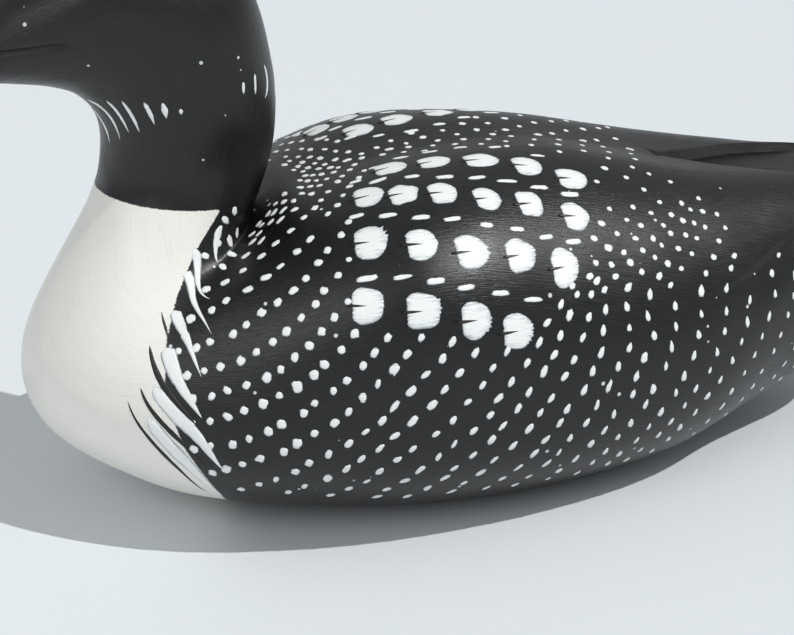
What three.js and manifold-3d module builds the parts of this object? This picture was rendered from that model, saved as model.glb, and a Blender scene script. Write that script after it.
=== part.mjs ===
// Carved wooden loon figurine, one solid block of wood with a flat underside.
// Millimetres, +Z up, table at z = 0. The bird faces -X and its left flank is -Y.
import * as THREE from 'three';
import { mergeVertices } from 'three/addons/utils/BufferGeometryUtils.js';
import Module from 'manifold-3d';

// Driving dimensions
const length = 400; // bill tip to tail tip
const beam = 148; // widest, across the folded wings
const backHeight = 112; // table to the top of the back
const crownHeight = 185; // table to the top of the head
const chinHeight = 141; // table to the underside of the bill
const collarWidth = 51; // side to side where the neck turns white
const neckWidth = 45;
const headWidth = 56;
const billWidth = 22; // at the face
const underCut = 6.5; // how far the round hull would go below the table

// Carving on the back, all measured along or across the bird
const saddleDip = 2.7; // valley between the wings at the shoulders
const rumpDip = 6.5; // the same valley at the rump
const dipSpread = [15, 20]; // half width of the valley, shoulders and rump
const rumpX = 88; // point of the V between the wing tips
const wingTipX = 174;
const wingTipY = 23;
const rumpStep = 3.5; // the V's floor lies this far below the wings
const wingStep = 2; // the flank lies this far below the wings' lower edges
const wingStepX = 84; // front end of those lower edges
const edgeAngle = 1.2; // half width of a carved step, degrees around a section

// Eyes, low domes cut in the same wood
const eye = { x: -112, z: 164, y: 24.4, radius: 5, thickness: 2.4 };

// Facets
const sectionCount = 92;
const backSteps = 4; // middle of the back to the wing's inner edge
const wingSteps = 7; // across the wing
const flankSteps = 11; // wing's lower edge to the middle of the keel

const half = length / 2;

// A section runs straight from a point on the back line to a point on the keel
// line, both [x, z]. wide is how far up from the keel it is widest. roof and hull
// are the fullness of its upper and lower outline, where 2 is an ellipse.
const station = (back, keel, width, { wide = 0.5, roof = 2, hull = 2 } = {}) => [
  back[0], back[1], keel[0], keel[1], width / 2, wide, roof, hull,
];

const stations = [
  station([half, 80], [half, 70], 28),
  station([168, 93], [157, 22], 60, { wide: 0.52, roof: 2.1 }),
  station([133, 97], [108, 4], 92, { roof: 2.1 }),
  station([92, 102], [76, -5], 124, { wide: 0.48, roof: 2.1 }),
  station([34, backHeight], [17, -underCut], beam, { wide: 0.45, roof: 2.2, hull: 2.2 }),
  station([-10, 110], [-42, -1], beam, { wide: 0.45, roof: 3, hull: 2.2 }),
  station([-36, 103], [-98, 12], 124, { wide: 0.46, roof: 2.9, hull: 2.15 }),
  station([-45, 101], [-124, 30], 98, { wide: 0.47, roof: 2.4 }),
  station([-53, 94], [-128, 51], 78, { roof: 2.15 }),
  station([-52, 97], [-104, 99], collarWidth),
  station([-46, 114], [-100, 110], neckWidth),
  station([-45, 137.5], [-99, 125], 52, { wide: 0.52, roof: 2.1 }),
  station([-54, 169], [-106, 136], headWidth, { wide: 0.56, roof: 2.2 }),
  station([-88, crownHeight], [-125, chinHeight], 55, { wide: 0.58, roof: 2.3 }),
  station([-117, 176], [-139, chinHeight], 42, { wide: 0.54, roof: 2.2 }),
  station([-136, 165], [-150, chinHeight], billWidth, { roof: 2.1 }),
  station([-166, 159], [-173, 143], 13),
  station([-half, 151], [-half, 149], 3),
];
const [rumpStation, shoulderStation, breastStation] = [2, 5, 7];
const tailCap = 0.03; // share of the whole run that rounds off the tail
const billCap = 0.012;

const smooth = (from, to, x) => {
  const t = Math.min(Math.max((x - from) / (to - from), 0), 1);
  return t * t * (3 - 2 * t);
};
const mix = (a, b, t) => a + (b - a) * t;
const radians = (degrees) => (degrees * Math.PI) / 180;

// Where each station lies along the run from tail to bill, 0 to 1
const places = stations.reduce((list, here, i) => {
  if (i === 0) return [0];
  const before = stations[i - 1];
  const onBack = Math.hypot(here[0] - before[0], here[1] - before[1]);
  const onKeel = Math.hypot(here[2] - before[2], here[3] - before[3]);
  return [...list, list[i - 1] + ((onBack + onKeel) / 2) ** 0.75];
}, []).map((place, i, list) => place / list[list.length - 1]);

// Slope of a station value, the mean of its neighbours' slopes by their distance
function slope(i, k) {
  const last = stations.length - 1;
  const step = (j) => (stations[j + 1][k] - stations[j][k]) / (places[j + 1] - places[j]);
  if (i === 0) return step(0);
  if (i === last) return step(last - 1);
  const before = places[i] - places[i - 1];
  const after = places[i + 1] - places[i];
  return (step(i - 1) * after + step(i) * before) / (before + after);
}

// Section at run s: a cubic curve through the stations, rounded off at both ends
function sectionAt(s) {
  let i = 0;
  while (i < stations.length - 2 && places[i + 1] < s) i += 1;
  const gap = places[i + 1] - places[i];
  const t = (s - places[i]) / gap;
  const value = (k) =>
    (2 * t ** 3 - 3 * t ** 2 + 1) * stations[i][k] +
    (t ** 3 - 2 * t ** 2 + t) * gap * slope(i, k) +
    (3 * t ** 2 - 2 * t ** 3) * stations[i + 1][k] +
    (t ** 3 - t ** 2) * gap * slope(i + 1, k);
  const [bx, bz, kx, kz, w, wide, roof, hull] = stations[0].map((_, k) => value(k));
  const near = Math.min(s / tailCap, (1 - s) / billCap, 1);
  const cap = Math.sqrt(Math.max(1 - (1 - near) ** 2, 0));
  const [mx, mz] = [(bx + kx) / 2, (bz + kz) / 2];
  return {
    back: [mix(mx, bx, cap), mix(mz, bz, cap)],
    keel: [mix(mx, kx, cap), mix(mz, kz, cap)],
    width: w * cap,
    wide,
    roof,
    hull,
  };
}

// Angle around a section at which its roof is y from the middle
const roofAngle = (section, y) =>
  Math.asin(Math.min(y / Math.max(section.width, 0.1), 0.95) ** (section.roof / 2));

// The wing's inner and lower edges as angles around a section at back x
function wingAngles(section) {
  const x = section.back[0];
  const open = smooth(rumpX - 26, rumpX, x);
  const run = Math.min(Math.max((x - rumpX) / (wingTipX - rumpX), 0), 1);
  const innerY = 1.5 + (wingTipY - 1.5) * Math.sin((run * Math.PI) / 2);
  const inner = mix(radians(30), roofAngle(section, innerY), open);
  const tip = roofAngle(section, wingTipY + 1.5);
  const lower = mix(radians(64), tip, smooth(wingStepX, wingTipX, x) * open);
  return { inner, lower: Math.max(lower, inner + radians(5)) };
}

// Height added to the plain section: the valley, the V and the step under the wing
function carving(section, s, angle, y) {
  const x = section.back[0];
  const { inner, lower } = wingAngles(section);
  const aft = smooth(30, 115, x);
  const onBack = smooth(places[1], places[rumpStation], s)
    * (1 - smooth(places[shoulderStation], places[breastStation], s));
  const spread = mix(dipSpread[0], dipSpread[1], aft);
  let depth = 0;
  if (angle < Math.PI / 2) {
    depth += mix(saddleDip, rumpDip, aft) * onBack * Math.exp(-((y / spread) ** 2));
  }
  const step = angle < inner ? rumpStep : mix(wingStep, 0, smooth(0, radians(30), angle - lower));
  const start = angle < inner ? smooth(rumpX - 6, rumpX + 10, x) : smooth(wingStepX, wingStepX + 24, x);
  const pastTip = smooth(wingTipX - 2, wingTipX + 2, x);
  depth += step * (angle > inner && angle < lower ? pastTip : start);
  return -depth;
}

// Angles of the points on one side, packed close at the two carved steps
function ringAngles(section) {
  const { inner, lower } = wingAngles(section);
  const gap = Math.min(radians(edgeAngle), inner / 3);
  const spans = [
    [0, inner - gap, backSteps],
    [inner + gap, lower - gap, wingSteps],
    [lower + gap, Math.PI, flankSteps],
  ];
  return spans.flatMap(([from, to, steps]) =>
    Array.from({ length: steps + 1 }, (_, i) => mix(from, to, i / steps)));
}

function pointOn(section, s, angle, side) {
  const [c, n] = [Math.cos(angle), Math.sin(angle)];
  const full = c > 0 ? section.roof : section.hull;
  const y = section.width * Math.max(n, 0) ** (2 / full);
  const [bx, bz] = section.back;
  const [kx, kz] = section.keel;
  const tall = Math.hypot(bx - kx, bz - kz);
  const reach = (c > 0 ? 1 - section.wide : section.wide) * tall;
  const up = section.wide * tall + reach * Math.sign(c) * Math.abs(c) ** (2 / full)
    + carving(section, s, angle, y);
  return [kx + ((bx - kx) * up) / tall, side * y, kz + ((bz - kz) * up) / tall];
}

function bodyGeometry() {
  const rings = [];
  for (let i = 1; i < sectionCount; i += 1) {
    const s = i / sectionCount;
    const section = sectionAt(s);
    const angles = ringAngles(section);
    const near = angles.map((angle) => pointOn(section, s, angle, -1));
    const far = angles.slice(1, -1).reverse().map((angle) => pointOn(section, s, angle, 1));
    rings.push([...near, ...far]);
  }
  const around = rings[0].length;
  const middle = (s) => {
    const { back, keel } = sectionAt(s);
    return [(back[0] + keel[0]) / 2, 0, (back[1] + keel[1]) / 2];
  };
  const points = [...rings.flat(), middle(0), middle(1)];
  const tailEnd = points.length - 2;
  const billEnd = points.length - 1;
  const faces = [];
  const lastRing = (rings.length - 1) * around;
  for (let j = 0; j < around; j += 1) {
    const next = (j + 1) % around;
    for (let i = 0; i < rings.length - 1; i += 1) {
      const [a, b] = [i * around + j, i * around + next];
      const [c, d] = [a + around, b + around];
      faces.push(a, c, b, b, c, d);
    }
    faces.push(tailEnd, j, next);
    faces.push(billEnd, lastRing + next, lastRing + j);
  }
  const geometry = new THREE.BufferGeometry();
  geometry.setAttribute('position', new THREE.Float32BufferAttribute(points.flat(), 3));
  geometry.setIndex(faces);
  return geometry;
}

function eyeGeometry(side) {
  const geometry = new THREE.SphereGeometry(eye.radius, 16, 10);
  geometry.scale(1, eye.thickness / eye.radius, 1);
  geometry.translate(eye.x, side * eye.y, eye.z);
  return geometry;
}

function underTable() {
  const depth = 40;
  const geometry = new THREE.BoxGeometry(length * 1.2, beam * 1.2, depth);
  geometry.translate(0, 0, -depth / 2);
  return geometry;
}

const wasm = await Module();
wasm.setup();

function solidOf(source) {
  let geometry = source.clone();
  geometry.deleteAttribute('normal');
  geometry.deleteAttribute('uv');
  geometry = mergeVertices(geometry, 1e-4);
  return new wasm.Manifold(new wasm.Mesh({
    numProp: 3,
    vertProperties: new Float32Array(geometry.attributes.position.array),
    triVerts: new Uint32Array(geometry.index.array),
  }));
}

function geometryOf(solid) {
  const mesh = solid.getMesh();
  const geometry = new THREE.BufferGeometry();
  geometry.setAttribute('position', new THREE.BufferAttribute(mesh.vertProperties, 3));
  geometry.setIndex(new THREE.BufferAttribute(mesh.triVerts, 1));
  geometry.computeVertexNormals();
  return geometry;
}

const carved = solidOf(bodyGeometry())
  .add(solidOf(eyeGeometry(-1)))
  .add(solidOf(eyeGeometry(1)))
  .subtract(solidOf(underTable()));

const paintedWood = new THREE.MeshStandardMaterial({ color: 0x1c1e20, roughness: 0.38, metalness: 0 });
const figurine = new THREE.Mesh(geometryOf(carved), paintedWood);
figurine.name = 'loon_figurine';

const group = new THREE.Group();
group.add(figurine);

export default group;
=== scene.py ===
# Carved wooden loon: fine carving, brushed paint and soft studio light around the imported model.
import math
import bpy
import numpy as np
from mathutils import Matrix, Vector


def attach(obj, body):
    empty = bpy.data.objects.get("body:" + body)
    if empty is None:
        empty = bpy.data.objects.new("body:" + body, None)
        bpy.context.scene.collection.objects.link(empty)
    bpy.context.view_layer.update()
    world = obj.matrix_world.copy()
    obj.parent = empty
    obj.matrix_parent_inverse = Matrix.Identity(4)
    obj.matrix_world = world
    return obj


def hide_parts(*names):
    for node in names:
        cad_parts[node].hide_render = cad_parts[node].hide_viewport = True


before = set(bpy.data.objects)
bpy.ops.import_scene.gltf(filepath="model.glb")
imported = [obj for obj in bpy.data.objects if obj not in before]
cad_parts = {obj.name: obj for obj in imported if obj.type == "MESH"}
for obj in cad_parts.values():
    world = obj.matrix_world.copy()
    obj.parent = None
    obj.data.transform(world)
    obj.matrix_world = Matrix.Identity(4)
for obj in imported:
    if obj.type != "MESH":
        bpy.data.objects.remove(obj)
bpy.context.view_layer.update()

rng = np.random.default_rng(16)
mm = 0.001

# Shape of the bird.
# A place on the bird is (run, turn): run 0 at the tail to 1 at the bill tip, turn in degrees
# around the section, 0 on the back line and 180 on the keel, minus on the left side.

bird = {
    "length": 400, "beam": 148, "backHeight": 112, "crownHeight": 185, "chinHeight": 141,
    "collarWidth": 51, "neckWidth": 45, "headWidth": 56, "billWidth": 22, "underCut": 6.5,
    "saddleDip": 2.7, "rumpDip": 6.5, "dipSpread": (15, 20),
    "rumpX": 88, "wingTipX": 174, "wingTipY": 23, "rumpStep": 3.5, "wingStep": 2, "wingStepX": 84,
    "tailCap": 0.03, "billCap": 0.012,
    "rings": 338, "backColumns": 30, "wingColumns": 48, "flankColumns": 62, "edgeAngle": 0.35,
    "mouthDepth": 1.3, "mouthWidth": 0.9,
}


def station(back, keel, width, wide=0.5, roof=2, hull=2):
    return (*back, *keel, width / 2, wide, roof, hull)


half = bird["length"] / 2
stations = np.array([
    station((half, 80), (half, 70), 28),
    station((168, 93), (157, 22), 60, wide=0.52, roof=2.1),
    station((133, 97), (108, 4), 92, roof=2.1),
    station((92, 102), (76, -5), 124, wide=0.48, roof=2.1),
    station((34, bird["backHeight"]), (17, -bird["underCut"]), bird["beam"], wide=0.45, roof=2.2, hull=2.2),
    station((-10, 110), (-42, -1), bird["beam"], wide=0.45, roof=3, hull=2.2),
    station((-36, 103), (-98, 12), 124, wide=0.46, roof=2.9, hull=2.15),
    station((-45, 101), (-124, 30), 98, wide=0.47, roof=2.4),
    station((-53, 94), (-128, 51), 78, roof=2.15),
    station((-52, 97), (-104, 99), bird["collarWidth"]),
    station((-46, 114), (-100, 110), bird["neckWidth"]),
    station((-45, 137.5), (-99, 125), 52, wide=0.52, roof=2.1),
    station((-54, 169), (-106, 136), bird["headWidth"], wide=0.56, roof=2.2),
    station((-88, bird["crownHeight"]), (-125, bird["chinHeight"]), 55, wide=0.58, roof=2.3),
    station((-117, 176), (-139, bird["chinHeight"]), 42, wide=0.54, roof=2.2),
    station((-136, 165), (-150, bird["chinHeight"]), bird["billWidth"], roof=2.1),
    station((-166, 159), (-173, 143), 13),
    station((-half, 151), (-half, 149), 3),
], float)
backSteps = np.hypot(*np.diff(stations[:, 0:2], axis=0).T)
keelSteps = np.hypot(*np.diff(stations[:, 2:4], axis=0).T)
places = np.concatenate([[0], np.cumsum(((backSteps + keelSteps) / 2) ** 0.75)])
places /= places[-1]


def smooth(low, high, x):
    t = np.clip((x - low) / (high - low), 0, 1)  # 0 below low, 1 above high, 3t^2 - 2t^3 between
    return t * t * (3 - 2 * t)


def mix(a, b, t):
    return a + (b - a) * t


def sectionAt(run):
    # Cubic Hermite curve through the stations, each slope the mean of its two neighbours' by distance.
    gaps = np.diff(places)
    steps = np.diff(stations, axis=0) / gaps[:, None]
    slopes = np.empty_like(stations)
    slopes[0] = steps[0]
    slopes[-1] = steps[-1]
    before = gaps[:-1, None]
    after = gaps[1:, None]
    slopes[1:-1] = (steps[:-1] * after + steps[1:] * before) / (before + after)
    run = np.clip(run, 0, 1)
    i = np.clip(np.searchsorted(places, run, side="right") - 1, 0, len(places) - 2)
    gap = gaps[i][..., None]
    t = (run[..., None] - places[i][..., None]) / gap
    values = ((2 * t ** 3 - 3 * t ** 2 + 1) * stations[i] + (t ** 3 - 2 * t ** 2 + t) * gap * slopes[i]
              + (3 * t ** 2 - 2 * t ** 3) * stations[i + 1] + (t ** 3 - t ** 2) * gap * slopes[i + 1])
    bx, bz, kx, kz, width, wide, roof, hull = np.moveaxis(values, -1, 0)
    near = np.minimum(np.minimum(run / bird["tailCap"], (1 - run) / bird["billCap"]), 1)
    cap = np.sqrt(np.clip(1 - (1 - near) ** 2, 0, 1))  # rounds off both ends
    mx = (bx + kx) / 2
    mz = (bz + kz) / 2
    return {"bx": mix(mx, bx, cap), "bz": mix(mz, bz, cap), "kx": mix(mx, kx, cap), "kz": mix(mz, kz, cap),
            "width": width * cap, "wide": wide, "roof": roof, "hull": hull}


def roofAngle(sec, y):
    return np.arcsin(np.minimum(y / np.maximum(sec["width"], 0.1), 0.95) ** (sec["roof"] / 2))


def wingAngles(sec):
    # Inner and lower edge of the folded wing, as superellipse angles: 30 and 64 degrees on the body,
    # then pinched toward the wing tip behind the rump.
    x = sec["bx"]
    rumpX = bird["rumpX"]
    tipX = bird["wingTipX"]
    tipY = bird["wingTipY"]
    opening = smooth(rumpX - 26, rumpX, x)
    along = np.clip((x - rumpX) / (tipX - rumpX), 0, 1)
    innerY = 1.5 + (tipY - 1.5) * np.sin(along * math.pi / 2)
    inner = mix(math.radians(30), roofAngle(sec, innerY), opening)
    lower = mix(math.radians(64), roofAngle(sec, tipY + 1.5), smooth(bird["wingStepX"], tipX, x) * opening)
    return inner, np.maximum(lower, inner + math.radians(5))


def carvedDepth(sec, run, angle, y):
    # Valley between the wings, floor of the V behind the rump, and the step under each wing.
    x = sec["bx"]
    inner, lower = wingAngles(sec)
    aft = smooth(30, 115, x)
    onBack = smooth(places[1], places[2], run) * (1 - smooth(places[5], places[7], run))
    spread = mix(*bird["dipSpread"], aft)
    dip = mix(bird["saddleDip"], bird["rumpDip"], aft) * onBack * np.exp(-(y / spread) ** 2)
    depth = np.where(angle < math.pi / 2, dip, 0)
    outside = mix(bird["wingStep"], 0, smooth(0, math.radians(30), angle - lower))
    step = np.where(angle < inner, bird["rumpStep"], outside)
    startV = smooth(bird["rumpX"] - 6, bird["rumpX"] + 10, x)
    startWing = smooth(bird["wingStepX"], bird["wingStepX"] + 24, x)
    onWing = (angle > inner) & (angle < lower)
    start = np.where(onWing, smooth(bird["wingTipX"] - 2, bird["wingTipX"] + 2, x),
                     np.where(angle < inner, startV, startWing))
    return depth + step * start


def fineRelief(run, turn, x, z):
    # Line of the mouth, cut where the two halves of the bill meet, and the long soft marks of the knife.
    line = np.interp(x, [-200, -165, -135, -119, -106], [150, 151.5, 154, 156, 157.5])
    cut = np.exp(-((z - line) / bird["mouthWidth"]) ** 2) * (1 - smooth(-112, -104, x))
    knife = (np.sin(run * 151 + turn * 2.1) * np.sin(turn * 9.3 + run * 23)
             + 0.6 * np.sin(run * 67 - turn * 13.1 + 1.3)) * 0.06
    return bird["mouthDepth"] * cut * np.clip((200 + x) / 6, 0, 1) + knife


def birdSurface(run, turn, relief=True):
    # y = width sin(turn) r and up = wide tall + reach cos(turn) r, with r = (|cos|^n + |sin|^n)^(-1/n),
    # n = roof above the widest line and hull below it; up runs from the keel point to the back point.
    run, turn = np.broadcast_arrays(np.asarray(run, float), np.asarray(turn, float))
    sec = sectionAt(run)
    a = np.radians(turn)
    c = np.cos(a)
    s = np.sin(a)
    n = np.where(c > 0, sec["roof"], sec["hull"])
    r = (np.abs(c) ** n + np.abs(s) ** n) ** (-1 / n)
    y = sec["width"] * s * r
    tall = np.maximum(np.hypot(sec["bx"] - sec["kx"], sec["bz"] - sec["kz"]), 1e-6)
    reach = np.where(c > 0, 1 - sec["wide"], sec["wide"]) * tall
    angle = np.arctan2(np.abs(s) ** (n / 2), np.sign(c) * np.abs(c) ** (n / 2))
    up = sec["wide"] * tall + reach * c * r - carvedDepth(sec, run, angle, y)
    x = sec["kx"] + (sec["bx"] - sec["kx"]) * up / tall
    z = sec["kz"] + (sec["bz"] - sec["kz"]) * up / tall
    if relief:
        pull = fineRelief(run, a, x, z) / np.maximum(sec["width"], 4)  # toward the middle of the section
        midX = (sec["bx"] + sec["kx"]) / 2
        midZ = (sec["bz"] + sec["kz"]) / 2
        x = x - (x - midX) * pull
        y = y - y * pull
        z = z - (z - midZ) * pull
    return np.stack([x, y, z], -1)


def unit(v):
    return v / np.maximum(np.linalg.norm(v, axis=-1, keepdims=True), 1e-9)


def frameAt(run, turn):
    # Point, direction toward the tail, direction toward the keel and outward normal, by small differences.
    p = birdSurface(run, turn, False)
    along = (birdSurface(run + 0.001, turn, False) - birdSurface(run - 0.001, turn, False)) / 0.002
    around = (birdSurface(run, turn + 0.4, False) - birdSurface(run, turn - 0.4, False)) / 0.8
    normal = unit(np.cross(around, along))
    tailward = unit(-along)
    side = np.where(turn < 0, -1.0, 1.0)[..., None]
    keelward = unit(np.cross(normal, tailward)) * side
    return p, tailward, keelward, normal, along, around


def ontoBird(run, turn, aft, down, lift):
    # Carries a mark drawn in millimetres on the tangent plane (aft toward the tail, down toward the keel)
    # onto the surface: Newton steps on (run, turn) until the surface point lies under the drawn one.
    p, tailward, keelward, normal, along, around = frameAt(run, turn)
    target = p + aft[..., None] * tailward + down[..., None] * keelward
    u = run.copy()
    v = turn.copy()
    for _ in range(6):
        q = birdSurface(u, v, False)
        dx = target - q
        du = (birdSurface(u + 0.0005, v, False) - q) / 0.0005
        dv = (birdSurface(u, v + 0.2, False) - q) / 0.2
        a = (du * tailward).sum(-1)
        b = (dv * tailward).sum(-1)
        c = (du * keelward).sum(-1)
        d = (dv * keelward).sum(-1)
        e = (dx * tailward).sum(-1)
        f = (dx * keelward).sum(-1)
        det = a * d - b * c
        det = np.where(np.abs(det) < 1e-6, 1e-6, det)
        u = np.clip(u + np.clip((e * d - b * f) / det, -0.03, 0.03), 0.001, 0.999)
        v = v + np.clip((a * f - c * e) / det, -12, 12)
    q, _, _, n, _, _ = frameAt(u, v)
    return birdSurface(u, v) + n * lift[..., None]


# Small tools.

def srgb(hexa):
    # One colour for the shaders: each channel c of the hex value becomes ((c + 0.055) / 1.055)^2.4.
    parts = [int(hexa[i:i + 2], 16) / 255 for i in (0, 2, 4)]
    return tuple(c / 12.92 if c <= 0.04045 else ((c + 0.055) / 1.055) ** 2.4 for c in parts) + (1.0,)


def newPiece(name, points, faces, material, attributes=None, flat=False):
    # Points in millimetres; faces is a list of index arrays, each (count, 3) or (count, 4).
    mesh = bpy.data.meshes.new(name)
    points = np.asarray(points, float).reshape(-1, 3) * mm
    sizes = np.concatenate([np.full(len(f), f.shape[1]) for f in faces])
    corners = np.concatenate([f.reshape(-1) for f in faces]).astype(np.int32)
    starts = np.concatenate([[0], np.cumsum(sizes)[:-1]]).astype(np.int32)
    mesh.vertices.add(len(points))
    mesh.vertices.foreach_set("co", points.astype(np.float32).reshape(-1))
    mesh.loops.add(len(corners))
    mesh.loops.foreach_set("vertex_index", corners)
    mesh.polygons.add(len(sizes))
    mesh.polygons.foreach_set("loop_start", starts)
    mesh.polygons.foreach_set("loop_total", sizes.astype(np.int32))
    for key, values in (attributes or {}).items():
        values = np.asarray(values, float)
        kind = "FLOAT_VECTOR" if values.ndim == 2 else "FLOAT"
        layer = mesh.attributes.new(key, kind, "POINT")
        layer.data.foreach_set("vector" if values.ndim == 2 else "value", values.astype(np.float32).reshape(-1))
    mesh.update(calc_edges=True)
    mesh.validate()
    mesh.polygons.foreach_set("use_smooth", np.full(len(mesh.polygons), not flat))
    mesh.materials.append(material)
    piece = bpy.data.objects.new(name, mesh)
    bpy.context.scene.collection.objects.link(piece)
    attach(piece, "root")
    return piece


def newMaterial(name):
    material = bpy.data.materials.new(name)
    material.use_nodes = True
    nodes = material.node_tree.nodes
    shader = next(n for n in nodes if n.type == "BSDF_PRINCIPLED")
    return material, shader


def addNode(material, kind, settings=None, **links):
    # Adds one node. settings sets its own properties or, for an input, its value; links feed its inputs.
    node = material.node_tree.nodes.new(kind)
    for key, value in (settings or {}).items():
        if isinstance(key, str) and hasattr(node, key) and key not in node.inputs:
            setattr(node, key, value)
        else:
            node.inputs[key].default_value = value
    for key, source in links.items():
        name = key.replace("_", " ")
        socket = node.inputs[int(key[1:])] if key[0] == "i" and key[1:].isdigit() else node.inputs[name]
        material.node_tree.links.new(source, socket)
    return node


print("shape ready")

# Materials.

paint = {
    "black": "0A0B0C", "blackWorn": "1B1D20", "umber": "2A1E16", "breast": "E8E6DF", "breastShade": "D9D6CD",
    "mark": "E9EBEA", "markThin": "AEB4B8", "speck": "C9CCCC", "eye": "4A0C08", "floor": "D9DEE1",
    "streakWidth": 0.42, "streakLength": 7.0,  # tracks of the bristles, mm
    "blackRoughness": (0.27, 0.42), "whiteRoughness": (0.38, 0.5),
    "bump": 0.00011,
}


def brushStreaks(material, vector, width, length, detail=3.0, roughness=0.6):
    # Noise stretched along the brush: one track is width mm across and about length mm long.
    mapping = addNode(material, "ShaderNodeMapping", {"Scale": (1 / length, 1 / width, 1 / width)}, Vector=vector)
    return addNode(material, "ShaderNodeTexNoise",
                   {"Scale": 1.0, "Detail": detail, "Roughness": roughness}, Vector=mapping.outputs[0])


def specks(material, size, share):
    # Dust caught in the paint: points of a Voronoi pattern of one cell per size mm, few of them kept.
    where = addNode(material, "ShaderNodeTexCoord")
    cells = addNode(material, "ShaderNodeTexVoronoi", {"Scale": 1000 / size}, Vector=where.outputs["Object"])
    split = addNode(material, "ShaderNodeSeparateColor", Color=cells.outputs["Color"])
    kept = addNode(material, "ShaderNodeMath", {"operation": "LESS_THAN", 1: share}, i0=split.outputs[0])
    radius = addNode(material, "ShaderNodeMath", {"operation": "MULTIPLY", 1: 0.13}, i0=split.outputs[1])
    close = addNode(material, "ShaderNodeMath", {"operation": "LESS_THAN"},
                    i0=cells.outputs["Distance"], i1=radius.outputs[0])
    return addNode(material, "ShaderNodeMath", {"operation": "MULTIPLY"}, i0=kept.outputs[0], i1=close.outputs[0])


def paintedBody():
    # Basswood under two coats of brushed acrylic: satin black that shows the bristle tracks where light
    # grazes it, and a warm white breast. The edge between them is a hand-cut brush line.
    material, shader = newMaterial("brushed_acrylic_on_basswood")
    flow = addNode(material, "ShaderNodeAttribute", {"attribute_name": "flow"})
    white = addNode(material, "ShaderNodeAttribute", {"attribute_name": "whitePaint"})
    streaks = brushStreaks(material, flow.outputs["Vector"], paint["streakWidth"], paint["streakLength"])
    broad = brushStreaks(material, flow.outputs["Vector"], 5.0, 26.0, 2.0)
    worn = addNode(material, "ShaderNodeMapRange", {"From Min": 0.42, "From Max": 0.72}, Value=broad.outputs["Fac"])
    thin = addNode(material, "ShaderNodeMapRange", {"From Min": 0.5, "From Max": 0.75}, Value=streaks.outputs["Fac"])
    share = addNode(material, "ShaderNodeMath", {"operation": "MULTIPLY"}, i0=worn.outputs[0], i1=thin.outputs[0])
    black = addNode(material, "ShaderNodeMix", {"data_type": "RGBA", 6: srgb(paint["black"]), 7: srgb(paint["blackWorn"])},
                    Factor=share.outputs[0])
    dusty = addNode(material, "ShaderNodeMix", {"data_type": "RGBA", 7: srgb(paint["speck"])},
                    i0=specks(material, 5.5, 0.35).outputs[0], i6=black.outputs[2])
    breast = addNode(material, "ShaderNodeMix", {"data_type": "RGBA", 6: srgb(paint["breast"]), 7: srgb(paint["breastShade"])},
                     Factor=share.outputs[0])
    ragged = addNode(material, "ShaderNodeMath", {"operation": "MULTIPLY_ADD", 1: 0.9}, i0=streaks.outputs["Fac"],
                     i2=white.outputs["Fac"])
    edge = addNode(material, "ShaderNodeMapRange", {"From Min": 0.35, "From Max": 0.6}, Value=ragged.outputs[0])
    colour = addNode(material, "ShaderNodeMix", {"data_type": "RGBA"}, i0=edge.outputs[0],
                     i6=dusty.outputs[2], i7=breast.outputs[2])
    gloss = addNode(material, "ShaderNodeMapRange",
                    {"From Min": 0.3, "From Max": 0.7, "To Min": paint["blackRoughness"][0],
                     "To Max": paint["blackRoughness"][1]}, Value=streaks.outputs["Fac"])
    bump = addNode(material, "ShaderNodeBump", {"Strength": 1.0, "Distance": paint["bump"]},
                   Height=streaks.outputs["Fac"])
    link = material.node_tree.links.new
    link(colour.outputs[2], shader.inputs["Base Color"])
    link(gloss.outputs[0], shader.inputs["Roughness"])
    link(bump.outputs[0], shader.inputs["Normal"])
    shader.inputs["IOR"].default_value = 1.49
    return material


def brushedMark(name, colour, thinColour, width, cover):
    # One or two touches of thick acrylic: a raised film with fine tracks, thinner and more broken at its rim.
    # "across" is the mark's own drawing in mm, "rim" runs from 0 in the middle to 1 at the edge.
    material, shader = newMaterial(name)
    across = addNode(material, "ShaderNodeAttribute", {"attribute_name": "across"})
    rim = addNode(material, "ShaderNodeAttribute", {"attribute_name": "rim"})
    streaks = brushStreaks(material, across.outputs["Vector"], width, 4.0)
    reach = addNode(material, "ShaderNodeMath", {"operation": "POWER", 1: 3.0}, i0=rim.outputs["Fac"])
    broken = addNode(material, "ShaderNodeMath", {"operation": "MULTIPLY_ADD", 1: 0.3}, i0=reach.outputs[0],
                     i2=streaks.outputs["Fac"])
    thin = addNode(material, "ShaderNodeMapRange", {"From Min": cover, "From Max": cover + 0.22},
                   Value=broken.outputs[0])
    tone = addNode(material, "ShaderNodeMix", {"data_type": "RGBA", 6: srgb(colour), 7: srgb(thinColour)},
                   Factor=thin.outputs[0])
    bump = addNode(material, "ShaderNodeBump", {"Strength": 1.0, "Distance": 0.00012}, Height=streaks.outputs["Fac"])
    link = material.node_tree.links.new
    link(tone.outputs[2], shader.inputs["Base Color"])
    link(bump.outputs[0], shader.inputs["Normal"])
    shader.inputs["Roughness"].default_value = 0.42
    shader.inputs["IOR"].default_value = 1.49
    return material


bodyPaint = paintedBody()
whiteMark = brushedMark("white_acrylic_touches", paint["mark"], paint["markThin"], 0.35, 0.62)
blackMark = brushedMark("black_acrylic_strokes", paint["black"], paint["blackWorn"], 0.35, 0.62)
umberWash = brushedMark("umber_acrylic_wash", paint["umber"], paint["black"], 0.5, 0.5)
print("materials ready")

# Carved body.

whiteEdge = {  # where the white breast ends, x of the edge at each height
    "height": (0, 20, 30, 40, 50, 60, 70, 80, 91, 102),
    "x": (-66, -75.5, -81, -86.5, -89.4, -90.3, -88.2, -83.4, -76, -66.5),
    "collar": 102.0, "collarRise": 0.097,  # the collar climbs toward the throat
}


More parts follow.
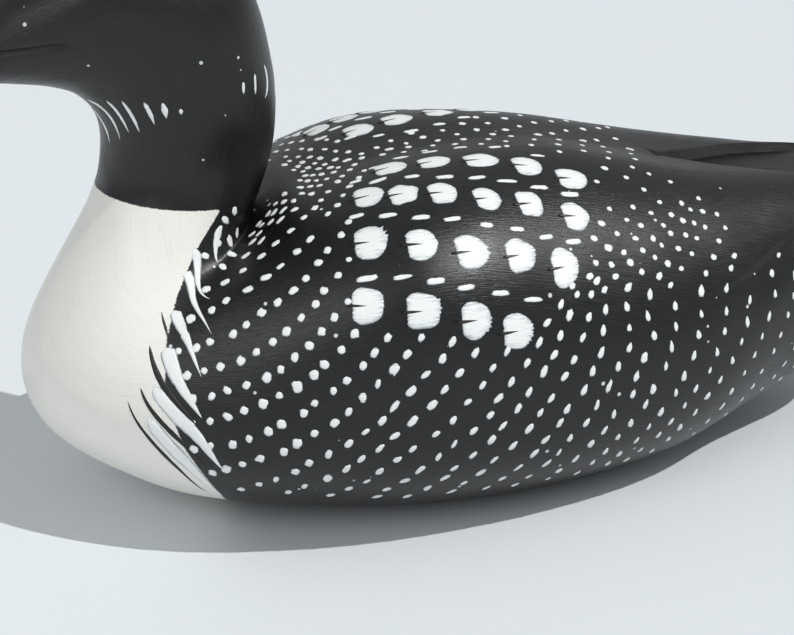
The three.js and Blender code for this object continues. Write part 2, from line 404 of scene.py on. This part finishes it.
def whiteField(x, z):
    # Millimetres inside the white paint: the smaller of the distances to the flank edge and to the collar.
    flank = (np.interp(z, whiteEdge["height"], whiteEdge["x"]) - x) * 0.8
    collar = whiteEdge["collar"] + (-66 - x) * whiteEdge["collarRise"] - z
    return np.minimum(flank, collar)


def bodyColumns(sec):
    # Superellipse angles of the grid lines on one side, packed close at the wing's two carved edges.
    inner, lower = wingAngles(sec)
    gap = np.minimum(math.radians(bird["edgeAngle"]), inner / 3)
    spans = ((np.zeros_like(inner), inner - gap, bird["backColumns"]),
             (inner + gap, lower - gap, bird["wingColumns"]),
             (lower + gap, np.full_like(inner, math.pi), bird["flankColumns"]))
    return np.concatenate([mix(a[:, None], b[:, None], np.linspace(0, 1, n + 1)) for a, b, n in spans], axis=1)


def turnOfAngle(sec, angle):
    # tan(turn) = tan(angle)^(2/n)
    c = np.cos(angle)
    n = np.where(c > 0, sec["roof"][:, None], sec["hull"][:, None])
    return np.degrees(np.arctan2(np.sin(angle).clip(0) ** (2 / n), np.sign(c) * np.abs(c) ** (2 / n)))


def carvedBody():
    # Rings of birdSurface from tail to bill, closed at both ends and flat on the table.
    rings = bird["rings"]
    run = np.linspace(0, 1, rings + 1)[1:-1]
    sec = sectionAt(run)
    turns = turnOfAngle(sec, bodyColumns(sec))
    turns = np.concatenate([-turns, turns[:, -2:0:-1]], axis=1)
    around = turns.shape[1]
    runs = np.repeat(run[:, None], around, axis=1)
    points = birdSurface(runs, turns)
    lap = np.linalg.norm(np.diff(points, axis=1, append=points[:, :1]), axis=2)
    girth = np.cumsum(lap, axis=1) - lap
    girth = np.minimum(girth, girth[:, -1:] + lap[:, -1:] - girth) * np.sign(turns)
    widest = birdSurface(run, np.full_like(run, 90.0))
    length = np.concatenate([[0], np.cumsum(np.linalg.norm(np.diff(widest, axis=0), axis=1))])
    flow = np.stack([np.repeat(length[:, None], around, axis=1), girth, np.sign(turns) * 40], -1)
    white = whiteField(points[..., 0], points[..., 2])
    points[..., 2] = np.maximum(points[..., 2], 0)
    ends = birdSurface(np.array([0.0, 1.0]), np.zeros(2), False)
    index = np.arange(runs.size).reshape(runs.shape)
    a = index[:-1]
    b = np.roll(index, -1, axis=1)[:-1]
    c = index[1:]
    d = np.roll(index, -1, axis=1)[1:]
    quads = np.stack([a, c, d, b], -1).reshape(-1, 4)
    tail = np.stack([np.full(around, runs.size), index[0], np.roll(index[0], -1)], -1)
    bill = np.stack([np.full(around, runs.size + 1), np.roll(index[-1], -1), index[-1]], -1)
    flat = points.reshape(-1, 3)
    allPoints = np.concatenate([flat, ends])
    attributes = {"flow": np.concatenate([flow.reshape(-1, 3), np.zeros((2, 3))]),
                  "whitePaint": np.concatenate([white.reshape(-1), [-50, -50]])}
    piece = newPiece("carved_body", allPoints, [quads, tail, bill], bodyPaint, attributes)
    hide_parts("loon_figurine")
    return piece


body = carvedBody()
print("carved body", len(body.data.polygons), "faces")

# Painted marks.


def filmFaces(count, each, fans, bands):
    # Repeats the faces of one mark of `each` points for all `count` marks.
    offset = (np.arange(count) * each)[:, None, None]
    return [(np.concatenate(fans)[None] + offset).reshape(-1, 3),
            (np.concatenate(bands)[None] + offset).reshape(-1, 4)]


def placedMarks(name, run, turn, aft, down, rings, material):
    # Every mark is a closed thin film: rings of its outline at given shares of the radius and heights,
    # a top point and a point under the surface. aft and down are (marks, outline points) in mm.
    count, corners = aft.shape
    area = (aft * np.roll(down, -1, axis=1) - down * np.roll(aft, -1, axis=1)).sum(1)
    flip = (area * turn < 0)[:, None]  # outlines run the same way round on both sides
    aft = np.where(flip, aft[:, ::-1], aft)
    down = np.where(flip, down[:, ::-1], down)
    shares = np.array([r[0] for r in rings])
    heights = np.array([r[1] for r in rings])
    middle = np.zeros((count, 1))
    a = np.concatenate([middle, (aft[:, None] * shares[:, None]).reshape(count, -1), middle], 1)
    d = np.concatenate([middle, (down[:, None] * shares[:, None]).reshape(count, -1), middle], 1)
    h = np.concatenate([[heights[0]], np.repeat(heights, corners), [-0.25]])
    each = a.shape[1]
    points = ontoBird(np.repeat(run, each), np.repeat(turn, each), a.reshape(-1), d.reshape(-1), np.tile(h, count))
    points[:, 2] = np.maximum(points[:, 2], 0.02)
    ring = np.arange(corners)
    ahead = np.roll(ring, -1)
    last = 1 + (len(rings) - 1) * corners
    fans = [np.stack([np.zeros(corners, int), 1 + ring, 1 + ahead], -1),
            np.stack([np.full(corners, each - 1), last + ahead, last + ring], -1)]
    bands = [np.stack([ring, ring + corners, ahead + corners, ahead], -1) + 1 + i * corners
             for i in range(len(rings) - 1)]
    rim = np.tile(np.concatenate([[0], np.repeat(shares, corners), [1]]), count)
    shift = np.repeat(rng.uniform(0, 90, (count, 3)), each, axis=0)
    across = np.stack([a.reshape(-1), d.reshape(-1), np.zeros(a.size)], -1) + shift
    return newPiece(name, points, filmFaces(count, each, fans, bands), material, {"rim": rim, "across": across})


def brushStrokes(name, run, turn, width, lift, material):
    # Strokes drawn along (strokes, stations) of run and turn: a low closed ridge, width mm across.
    count, stations = run.shape
    lineUp = unit(np.gradient(birdSurface(run, turn, False), axis=1))
    tailward, keelward = frameAt(run, turn)[1:3]
    a = (lineUp * tailward).sum(-1)[..., None]
    d = (lineUp * keelward).sum(-1)[..., None]
    side = -np.sign(turn[:, :1])[..., None]
    offsets = np.array([-1, -0.62, 0, 0.62, 1, 0]) * side
    heights = np.array([-0.05, 1, 1.15, 1, -0.05, 0]) * lift
    half = np.maximum(width, 0.04)[..., None] / 2
    high = heights * np.minimum(1, half / 0.3)
    high[..., 5] = -0.25
    spread = offsets * half
    each = stations * 6
    runs, turns, aft, down, rise = (np.broadcast_to(v, (count, stations, 6)).reshape(-1) for v in
                                    (run[..., None], turn[..., None], -d * spread, a * spread, high))
    points = ontoBird(runs, turns, aft, down, rise)
    points[:, 2] = np.maximum(points[:, 2], 0.02)
    k = np.arange(6)
    start = (np.arange(stations - 1) * 6)[:, None]
    bands = np.stack([start + k, start + np.roll(k, -1), start + 6 + np.roll(k, -1), start + 6 + k], -1).reshape(-1, 4)
    last = (stations - 1) * 6
    caps = np.array([[0, 3, 2], [0, 2, 1], [0, 4, 3], [0, 5, 4]])
    tips = np.array([[0, 2, 3], [0, 1, 2], [0, 3, 4], [0, 4, 5]]) + last
    step = np.linalg.norm(np.diff(birdSurface(run, turn, False), axis=1), axis=2)
    length = np.concatenate([np.zeros((count, 1)), np.cumsum(step, axis=1)], 1)[..., None]
    across = np.stack(np.broadcast_arrays(length, spread, 7.0 * np.arange(count)[:, None, None]), -1)
    rim = np.broadcast_to(np.abs(offsets) * np.array([1, 1, 1, 1, 1, 2]), (count, stations, 6))
    faces = filmFaces(count, each, [caps, tips], [bands])
    return newPiece(name, points, faces, material, {"rim": rim.reshape(-1), "across": across.reshape(-1, 3)})


def curve(knots, t):
    # The polynomial of lowest degree through equally spaced knots.
    return np.polyval(np.polyfit(np.linspace(0, 1, len(knots)), knots, len(knots) - 1), t)


def strokeRows(strokes, stations=22):
    # strokes: (runs in thousandths, turns, width in mm, share to full width, share of the thinning end).
    # Width grows with the square root at the start and falls as (1 - t)^0.8 at the end. Both sides alike.
    t = np.linspace(0, 1, stations)
    run = np.array([curve(s[0], t) for s in strokes]) / 1000
    turn = np.array([curve(s[1], t) for s in strokes])
    shape = np.array([np.minimum(1, t / s[3]) ** 0.5 * np.minimum(1, (1 - t) / s[4]) ** 0.8 for s in strokes])
    width = shape * np.array([s[2] for s in strokes])[:, None]
    waver = 1 + rng.normal(0, 0.05, (2 * len(strokes), stations))
    return np.tile(run, (2, 1)), np.concatenate([-turn, turn]), np.tile(width, (2, 1)) * waver


spots = {  # four rows on each wing: first, middle and last place, how many, length and height in mm, ragged end
    "rows": (((0.421, 15), (0.361, 18.5), (0.310, 27), 5, (11.0, 9.6), 0.02),
             ((0.447, 25.5), (0.382, 31.5), (0.316, 39), 6, (9.6, 10.6), 0.03),
             ((0.452, 41), (0.383, 46.5), (0.327, 53), 5, (10.6, 11.8), 0.07),
             ((0.447, 57), (0.397, 61), (0.355, 67), 4, (10.5, 11.6), 0.09)),
    "corners": 80, "film": ((0.3, 0.16), (0.62, 0.16), (0.9, 0.13), (1.0, -0.03)),
    "notch": (6.6, 0.85),  # length and width in mm
}


def rowPlaces(first, middle, last, count):
    t = np.linspace(0, 1, count)
    return curve((first[0], middle[0], last[0]), t), curve((first[1], middle[1], last[1]), t)


def spotPlaces(side):
    parts = [rowPlaces(*row[:4]) for row in spots["rows"]]
    run = np.concatenate([p[0] for p in parts])
    turn = np.concatenate([p[1] for p in parts])
    size = np.concatenate([np.tile(row[4], (row[3], 1)) for row in spots["rows"]])
    ragged = np.concatenate([np.full(row[3], row[5]) for row in spots["rows"]])
    run = run + rng.normal(0, 0.0008, run.size)
    turn = turn + rng.normal(0, 0.3, run.size)
    return run, turn * side, size * rng.uniform(0.92, 1.06, size.shape), ragged


def spotOutline(size, ragged):
    # Rounded square r = (|cos|^p + |sin|^p)^(-1/p), cut flat toward the head, with a few bristle teeth
    # toward the tail, in one or two bunches.
    count = len(size)
    theta = np.linspace(-math.pi, math.pi, spots["corners"], endpoint=False)
    p = 2.0 + 0.7 * (np.cos(theta) < 0)
    r = (np.abs(np.cos(theta)) ** p + np.abs(np.sin(theta)) ** p) ** (-1 / p)
    phase = rng.uniform(0, 6.28, (4, count, 1))
    waves = sum(rng.normal(0, 0.02, (count, 1)) * np.cos((k + 2) * theta + phase[k]) for k in range(4))
    bunch = np.clip(np.cos(theta - rng.normal(-0.1, 0.3, (count, 1))), 0, 1) ** 6
    teeth = np.abs(rng.normal(0, 1.3, (count, theta.size))) * ragged[:, None] * bunch
    fray = rng.normal(0, 0.008, (count, theta.size))
    r = r * (1 + waves + teeth + fray)
    aft = np.maximum(r * np.cos(theta), -0.84 + rng.normal(0, 0.02, (count, theta.size))) * size[:, :1] / 2
    down = r * np.sin(theta) * size[:, 1:] / 2
    return aft + 0.05 * size[:, :1], down


def notches(run, turn, size):
    # The dark slot of each spot: a thin leaf from the head side to just past the middle.
    theta = np.linspace(0, 2 * math.pi, 14, endpoint=False)
    long, wide = spots["notch"]
    grow = rng.uniform(0.85, 1.15, (len(run), 1))
    tilt = rng.normal(0.03, 0.07, (len(run), 1))
    aft = np.cos(theta) * long / 2 * grow - 0.23 * size[:, :1]
    down = np.sin(theta) * wide / 2 * (1 - 0.75 * np.cos(theta)) * grow + aft * tilt
    return aft, down


run, turn, size, ragged = (np.concatenate(parts) for parts in zip(spotPlaces(-1), spotPlaces(1)))
placedMarks("spots", run, turn, *spotOutline(size, ragged), spots["film"], whiteMark)
notchFilm = ((0.4, 0.24), (0.8, 0.23), (1.0, 0.02))
placedMarks("notches", run, turn, *notches(run, turn, size), notchFilm, umberWash)
print("spots", len(run))

dashes = {  # short touches between the rows of spots: first, middle and last place, how many, half sizes in mm
    "rows": (((0.450, 17), (0.385, 7.8), (0.325, 17), 7, (2.6, 0.9)),
             ((0.433, 20), (0.367, 25.5), (0.317, 32.5), 7, (3.1, 1.0)),
             ((0.457, 32), (0.382, 39.5), (0.319, 47), 8, (2.7, 1.0)),
             ((0.450, 50), (0.396, 54), (0.345, 60), 6, (3.0, 0.95))),
    "corners": 16, "film": ((0.72, 0.13), (1.0, -0.03)),
}


def dashPlaces(side):
    parts = [rowPlaces(*row[:4]) for row in dashes["rows"]]
    run = np.concatenate([p[0] for p in parts])
    turn = np.concatenate([p[1] for p in parts])
    size = np.concatenate([np.tile(row[4], (row[3], 1)) for row in dashes["rows"]])
    run = run + rng.normal(0, 0.001, run.size)
    turn = turn + rng.normal(0, 0.4, run.size)
    return run, turn * side, size * rng.uniform(0.82, 1.15, size.shape)


def dashOutline(size):
    # Superellipse of power 3.2 with uneven ends.
    theta = np.linspace(0, 2 * math.pi, dashes["corners"], endpoint=False)
    r = (np.abs(np.cos(theta)) ** 3.2 + np.abs(np.sin(theta)) ** 3.2) ** (-1 / 3.2)
    r = r * (1 + rng.normal(0, 0.07, (len(size), theta.size)))
    lean = rng.normal(0.02, 0.06, (len(size), 1))
    aft = r * np.cos(theta) * size[:, :1]
    return aft, r * np.sin(theta) * size[:, 1:] + aft * lean


run, turn, size = (np.concatenate(parts) for parts in zip(dashPlaces(-1), dashPlaces(1)))
placedMarks("dashes", run, turn, *dashOutline(size), dashes["film"], whiteMark)

dots = {  # columns of dots across the bird: run of each guide column, in thousandths, at these turns
    "turns": (0, 15, 30, 45, 60, 75, 90, 105, 120, 135),
    "guides": {
        -3: (478, 532, 582, 612, 640, 670, 700, 710, 720, 730),
        0: (440, 488, 534, 562, 588, 612, 630, 640, 650, 660),
        3: (389, 424, 460, 488, 508, 523, 546, 570, 590, 605),
        6: (338, 361, 388, 416, 443, 462, 486, 507, 530, 550),
        9: (297, 309, 330, 356, 380, 401, 421, 442, 459, 473),
        12: (256, 264, 283, 305, 328, 347, 365, 387, 401, 413),
        15: (215, 226, 243, 270, 305, 304, 318, 332, 346, 358),
        18: (176, 190, 214, 243, 266, 263, 271, 283, 296, 306),
        21: (140, 152, 172, 196, 214, 213, 222, 236, 250, 262),
        24: (105, 115, 130, 148, 162, 160, 160, 158, 164, 176),
        27: (70, 76, 84, 96, 104, 104, 104, 106, 112, 122),
    },
    "flankPitch": ((-3, 0, 3, 7, 10, 15, 27), (6.6, 7.0, 5.6, 5.8, 6.7, 6.5, 7.0)),
    "backPitch": ((-3, 0, 3, 6, 9, 15), (4.6, 4.8, 5.0, 6.2, 8.2, 8.8)),
    "corners": 12, "film": ((0.72, 0.13), (1.0, -0.03)),
}


def columnRuns(column, turns):
    # run of a column at each turn: straight between the guide columns and between their turns.
    keys = sorted(dots["guides"])
    table = np.array([dots["guides"][k] for k in keys], float) / 1000
    across = np.array([np.interp(column, keys, table[:, j]) for j in range(table.shape[1])])
    return np.interp(turns, dots["turns"], across)


def insidePatch(run, turn):
    # Among the spots and dashes: between the first and last row of spots and between their ends.
    lines = [np.interp(run, (row[2][0], row[1][0], row[0][0]), (row[2][1], row[1][1], row[0][1]))
             for row in spots["rows"]]
    heads = np.interp(turn, [row[0][1] for row in spots["rows"]], [row[0][0] for row in spots["rows"]])
    tails = np.interp(turn, [row[2][1] for row in spots["rows"]], [row[2][0] for row in spots["rows"]])
    between = (turn > lines[0] - 9.5) & (turn < lines[-1] + 4.5)
    return between & (run < heads + 0.011) & (run > tails - 0.012)


def onFeathers(run, turn):
    # On the feather ends and in the V between the wings, where there are no dots.
    sec = sectionAt(run)
    inner, lower = wingAngles(sec)
    innerTurn = turnOfAngle(sec, inner[:, None])[:, 0]
    lowerTurn = turnOfAngle(sec, lower[:, None])[:, 0]
    front = np.interp(turn, featherFront["turn"], featherFront["run"]) / 1000
    onWing = (run < front) & (turn < lowerTurn + 2.2)
    return onWing | ((sec["bx"] > bird["rumpX"] - 8) & (turn < innerTurn + 1.5))


def dotPlaces(side):
    # Each column is walked from the keel side up in steps of its pitch, then from the back line down.
    runs = []
    turns = []
    for column in range(-3, 28):
        fine = np.linspace(0, 134, 400)
        line = columnRuns(column, fine)
        points = birdSurface(line, fine, False)
        length = np.concatenate([[0], np.cumsum(np.linalg.norm(np.diff(points, axis=0), axis=1))])
        low = np.interp(124 + rng.uniform(-1, 1), fine, length)
        middle = np.interp(33, fine, length)
        step = np.interp(column, *dots["flankPitch"])
        backStep = np.interp(column, *dots["backPitch"])
        upper = np.arange(0.5 * backStep * (column % 2), middle - 0.3 * backStep, backStep)
        lower = np.arange(low, middle, -step)
        at = np.concatenate([upper, lower])
        at = at + rng.normal(0, 0.35, at.size)
        turns.append(np.interp(at, length, fine))
        runs.append(np.interp(at, length, line) + rng.normal(0, 0.0009, at.size))
    run = np.concatenate(runs)
    turn = np.concatenate(turns)
    p = birdSurface(run, turn, False)
    black = whiteField(p[:, 0], p[:, 2]) < -1.5
    low = (p[:, 2] < 101) | (p[:, 0] > -40)
    keep = black & low & ~insidePatch(run, turn) & ~onFeathers(run, turn) & (p[:, 2] > 2.5)
    return run[keep], turn[keep] * side


def dotOutline(run, turn):
    # Along the touch v = cos(t) length and across it u = sin(t) width (1 + e cos(t)), turned by lean.
    count = len(run)
    theta = np.linspace(0, 2 * math.pi, dots["corners"], endpoint=False)
    t = np.abs(turn)
    aftShare = 1 - smooth(0.40, 0.47, run)
    sternShare = 1 - smooth(0.28, 0.36, run)
    flank = smooth(48, 66, t)
    shoulder = smooth(0.47, 0.53, run) * smooth(16, 26, t) * (1 - smooth(54, 66, t))
    length = 1.42 + 0.45 * aftShare * flank + 0.5 * shoulder + rng.normal(0, 0.16, count)
    width = 1.38 - 0.36 * aftShare * flank - 0.2 * shoulder + rng.normal(0, 0.12, count)
    size = (1 - 0.18 * (1 - flank)) * rng.uniform(0.84, 1.12, count) * mix(0.8, 1, smooth(0.12, 0.3, run))
    egg = 0.28 * sternShare * flank + rng.normal(0, 0.08, count)
    lean = 38 * aftShare * flank * (1 - sternShare) + 6 * sternShare + 50 * shoulder + 90 * (1 - flank) * aftShare
    lean = np.radians(lean + rng.normal(0, 10, count))
    box = (2.0 + 0.9 * (1 - aftShare))[:, None]
    shape = (np.abs(np.cos(theta)) ** box + np.abs(np.sin(theta)) ** box) ** (-1 / box)
    shape = shape * (1 + rng.normal(0, 0.07, (count, theta.size)))
    v = shape * np.cos(theta) * (length * size)[:, None]
    u = shape * np.sin(theta) * (width * size)[:, None] * (1 + egg[:, None] * np.cos(theta))
    lean = lean[:, None]
    return u * np.cos(lean) - v * np.sin(lean), u * np.sin(lean) + v * np.cos(lean)


featherFront = {"turn": (0, 12, 19, 31, 40, 47, 54, 60), "run": (252, 254, 256, 240, 222, 220, 214, 214)}
run, turn = (np.concatenate(parts) for parts in zip(dotPlaces(-1), dotPlaces(1)))
placedMarks("dots", run, turn, *dotOutline(run, turn), dots["film"], whiteMark)
print("dots", len(run))

slashes = (  # white, from the breast edge into the black flank
    ((622, 611, 588), (63, 64, 57), 2.6, 0.25, 0.6),
    ((608, 595, 557), (80, 72, 66), 3.4, 0.05, 0.8),
    ((597, 574, 531), (80, 72, 75), 3.1, 0.05, 0.8),
    ((573, 545, 517), (81, 81, 87), 3.7, 0.05, 0.8),
    ((549, 523, 503), (88, 93, 99), 5.0, 0.05, 0.75),
    ((534, 511, 494, 477), (100, 103, 108, 116), 5.0, 0.1, 0.6),
    ((522, 498, 481, 465), (110, 117, 124, 134), 4.6, 0.1, 0.6),
)
stripes = (  # white, on the throat and the nape
    ((723, 708, 688), (171, 164, 160), 1.1, 0.2, 0.3),
    ((741, 730, 713, 693), (161, 154, 150, 148), 1.2, 0.2, 0.3),
    ((737, 721, 701), (144, 142, 139), 1.2, 0.2, 0.3),
    ((733, 718, 701), (134, 133, 131), 1.3, 0.2, 0.3),
    ((726, 706), (122, 120), 1.5, 0.2, 0.4),
    ((721, 709), (112, 112), 2.0, 0.4, 0.5),
    ((713, 709), (103, 103), 1.3, 0.5, 0.5),
    ((712, 706), (60, 61), 1.1, 0.2, 0.3),
    ((712, 702), (49, 51), 1.1, 0.2, 0.3),
    ((712, 703, 696), (36, 35, 41), 1.1, 0.2, 0.3),
    ((708, 699, 690), (13, 13, 21), 1.1, 0.2, 0.3),
)
blackSlashes = (  # black, from the flank into the white breast
    ((578, 564, 551), (88, 86, 87), 0.9, 0.4, 0.5),
    ((560, 539, 518, 500), (94, 96, 99, 103), 2.3, 0.5, 0.4),
    ((538, 522, 503, 482), (104, 107, 111, 118), 1.8, 0.5, 0.4),
    ((536, 520, 503, 487, 471), (111, 115, 120, 126, 134), 1.4, 0.5, 0.4),
)
brushStrokes("slashes", *strokeRows(slashes), 0.15, whiteMark)
brushStrokes("stripes", *strokeRows(stripes, 12), 0.15, whiteMark)
brushStrokes("black_slashes", *strokeRows(blackSlashes), 0.14, blackMark)
print("strokes ready")

# Camera, light and table.

view = {"azimuth": -16.0, "elevation": 24.5, "distance": 622.67, "target": (-4.7, 0, 48.4), "focalPixels": 1868,
        "width": 794}
light = {"keyAzimuth": -37, "keyElevation": 55, "key": 2.2, "fill": 9.0, "world": 0.5}


def makeCamera():
    az = math.radians(view["azimuth"])
    el = math.radians(view["elevation"])
    right = Vector((math.cos(az), math.sin(az), 0))
    ahead = Vector((-math.sin(az) * math.cos(el), math.cos(az) * math.cos(el), -math.sin(el)))
    up = right.cross(ahead)
    data = bpy.data.cameras.new("camera")
    data.sensor_width = 36
    data.lens = 36 * view["focalPixels"] / view["width"]
    data.clip_start = 0.01
    data.clip_end = 50
    camera = bpy.data.objects.new("camera", data)
    turned = Matrix((right, up, -ahead)).transposed().to_4x4()
    camera.matrix_world = Matrix.Translation((Vector(view["target"]) - ahead * view["distance"]) * mm) @ turned
    bpy.context.scene.collection.objects.link(camera)
    bpy.context.scene.camera = camera


def makeLight(name, kind, position, aim, energy, size, colour="FFFFFF"):
    data = bpy.data.lights.new(name, kind)
    data.energy = energy
    data.color = srgb(colour)[:3]
    if kind == "AREA":
        data.shape = "RECTANGLE"
        data.size, data.size_y = size
    else:
        data.angle = size
    lamp = bpy.data.objects.new(name, data)
    direction = Vector(aim) - Vector(position)
    lamp.rotation_euler = direction.to_track_quat("-Z", "Y").to_euler()
    lamp.location = position
    bpy.context.scene.collection.objects.link(lamp)
    return lamp


def makeTable():
    # Matt white card: a wide plane with a faint tooth.
    material, shader = newMaterial("matt_white_card")
    where = addNode(material, "ShaderNodeTexCoord")
    tooth = addNode(material, "ShaderNodeTexNoise", {"Scale": 900.0, "Detail": 2.0}, Vector=where.outputs["Object"])
    bump = addNode(material, "ShaderNodeBump", {"Strength": 0.15, "Distance": 0.0002}, Height=tooth.outputs["Fac"])
    material.node_tree.links.new(bump.outputs[0], shader.inputs["Normal"])
    shader.inputs["Base Color"].default_value = srgb(paint["floor"])
    shader.inputs["Roughness"].default_value = 0.85
    shader.inputs["Specular IOR Level"].default_value = 0.2
    size = 30.0
    mesh = bpy.data.meshes.new("table")
    mesh.from_pydata([(-size, -size, 0), (size, -size, 0), (size, size, 0), (-size, size, 0)], [], [(0, 1, 2, 3)])
    mesh.materials.append(material)
    table = bpy.data.objects.new("table", mesh)
    bpy.context.scene.collection.objects.link(table)


makeCamera()
az = math.radians(light["keyAzimuth"])
el = math.radians(light["keyElevation"])
sun = Vector((math.cos(el) * math.cos(az), math.cos(el) * math.sin(az), math.sin(el)))
makeLight("key", "SUN", sun * 2, (0, 0, 0), light["key"], math.radians(0.6))
makeLight("fill", "AREA", (-1.3, -1.1, 1.3), (-0.02, 0, 0.08), light["fill"], (1.1, 0.9))
makeTable()
world = bpy.data.worlds.new("soft_studio")
world.use_nodes = True
world.node_tree.nodes["Background"].inputs["Color"].default_value = srgb("EEF2F5")
world.node_tree.nodes["Background"].inputs["Strength"].default_value = light["world"]
bpy.context.scene.world = world
bpy.context.scene.view_settings.view_transform = "Standard"
print("camera, light and table ready")
